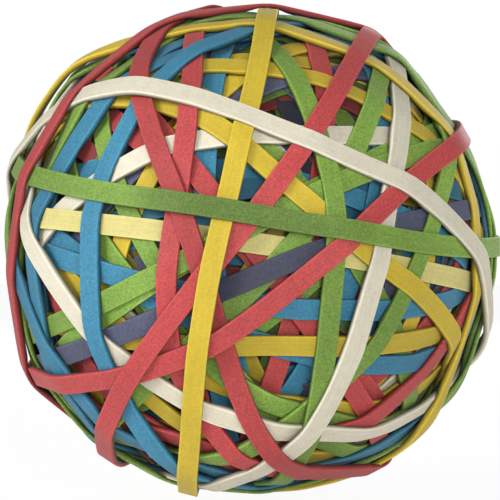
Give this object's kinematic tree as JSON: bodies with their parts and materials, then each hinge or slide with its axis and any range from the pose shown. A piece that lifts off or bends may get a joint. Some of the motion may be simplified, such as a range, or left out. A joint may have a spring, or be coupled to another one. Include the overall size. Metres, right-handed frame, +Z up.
{
  "type": "rubber band ball",
  "caption": "Round ball of flat coloured rubber bands wound over one another, kept on a desk to take bands from.",
  "frame": {"origin": "the ball's centre", "axes": "+Z up, and the side that the picture shows faces -Y"},
  "size_m": [0.0812, 0.0778, 0.0799],
  "materials": {
    "core_rubber": "matt, mixed colours in shade",
    "red_rubber": "matt red rubber, finely speckled",
    "green_rubber": "matt green rubber, finely speckled",
    "yellow_rubber": "matt yellow rubber, finely speckled",
    "blue_rubber": "matt blue rubber, finely speckled",
    "slate_rubber": "matt dull violet rubber, finely speckled",
    "white_rubber": "matt natural off-white rubber, finely speckled",
    "cream_rubber": "matt pale cream yellow rubber, finely speckled"
  },
  "bodies": {
    "root": {"wound_core": "core_rubber", "yellow_low_right_band": "yellow_rubber", "white_low_right_band": "white_rubber", "red_inner_slant_band": "red_rubber", "blue_inner_level_band": "blue_rubber", "yellow_top_left_band": "yellow_rubber", "yellow_low_mid_band": "yellow_rubber", "red_low_bow_band": "red_rubber", "red_low_slant_band": "red_rubber", "slate_top_right_band": "slate_rubber", "yellow_top_right_band": "yellow_rubber", "blue_low_upright_band": "blue_rubber", "blue_low_mid_band": "blue_rubber", "red_low_mid_band": "red_rubber", "red_mid_slant_band": "red_rubber", "blue_mid_upright_band": "blue_rubber", "green_low_left_band": "green_rubber", "red_low_left_band": "red_rubber", "yellow_low_left_band": "yellow_rubber", "yellow_left_deep_band": "yellow_rubber", "green_low_right_band": "green_rubber", "green_low_mid_band": "green_rubber", "red_right_inner_band": "red_rubber", "green_left_mid_band": "green_rubber", "blue_left_inner_band": "blue_rubber", "blue_left_slant_band": "blue_rubber", "yellow_right_level_band": "yellow_rubber", "blue_right_level_band": "blue_rubber", "white_upper_bow_band": "white_rubber", "cream_level_band": "cream_rubber", "green_cross_slant_band": "green_rubber", "red_low_right_bow_band": "red_rubber", "yellow_upper_bow_band": "yellow_rubber", "green_upper_slant_band": "green_rubber", "green_left_slant_band": "green_rubber", "slate_diagonal_band": "slate_rubber", "green_right_slant_band": "green_rubber", "yellow_long_bow_band": "yellow_rubber", "blue_left_outer_band": "blue_rubber", "green_left_rim_band": "green_rubber", "blue_low_left_rim_band": "blue_rubber", "blue_low_right_rim_band": "blue_rubber", "red_inner_upright_band": "red_rubber", "white_low_bow_band": "white_rubber", "green_right_upright_band": "green_rubber", "blue_left_bow_band": "blue_rubber", "white_right_bow_band": "white_rubber", "green_right_rim_band": "green_rubber", "green_low_rim_band": "green_rubber", "yellow_rim_band": "yellow_rubber", "red_long_upright_band": "red_rubber", "red_cross_diagonal_band": "red_rubber", "red_long_diagonal_band": "red_rubber", "yellow_upright_band": "yellow_rubber", "green_belt_band": "green_rubber", "white_sash_band": "white_rubber", "red_rim_band": "red_rubber"}
  },
  "joints": []
}
